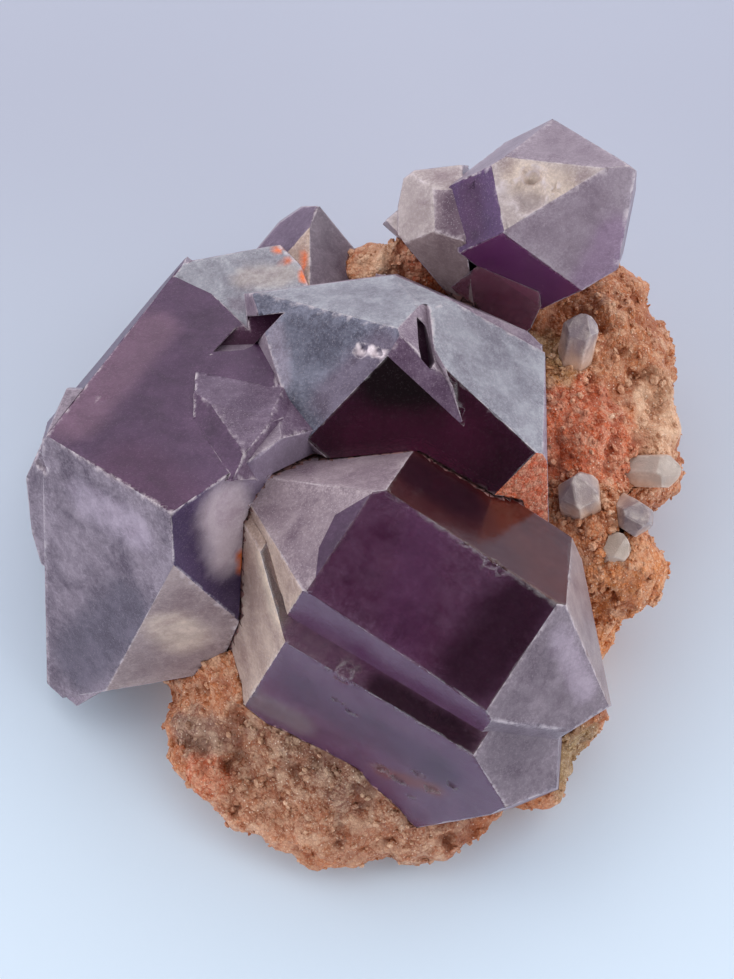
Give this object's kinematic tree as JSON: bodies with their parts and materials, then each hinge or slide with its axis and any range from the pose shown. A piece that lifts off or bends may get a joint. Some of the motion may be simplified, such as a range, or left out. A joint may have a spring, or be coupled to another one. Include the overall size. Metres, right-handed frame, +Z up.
{
  "type": "amethyst crystals on matrix",
  "caption": "Cluster of stubby, stepped purple amethyst crystals with frosted faces, grown on a flat-based lump of rusty quartz rock.",
  "frame": {"origin": "on the flat underside of the rock, near the middle of the outline", "axes": "+Z up from the surface it rests on, -Y towards the viewer of the picture, +X to the right"},
  "size_m": [0.0837, 0.0889, 0.0471],
  "materials": {
    "amethyst_front": "dark purple quartz, glassy top faces and frosted ends",
    "amethyst_left": "purple to grey quartz with frosted faces",
    "amethyst_upper": "purple to milky quartz, glassy point",
    "matrix": "rough rusty quartz rock, stands in for stone",
    "quartz": "cloudy quartz"
  },
  "bodies": {
    "root": {"amethyst_front": "amethyst_front", "amethyst_left": "amethyst_left", "amethyst_upper": "amethyst_upper", "matrix": "matrix", "quartz_1": "quartz", "quartz_2": "quartz", "quartz_3": "quartz", "quartz_4": "quartz", "quartz_5": "quartz"}
  },
  "joints": []
}
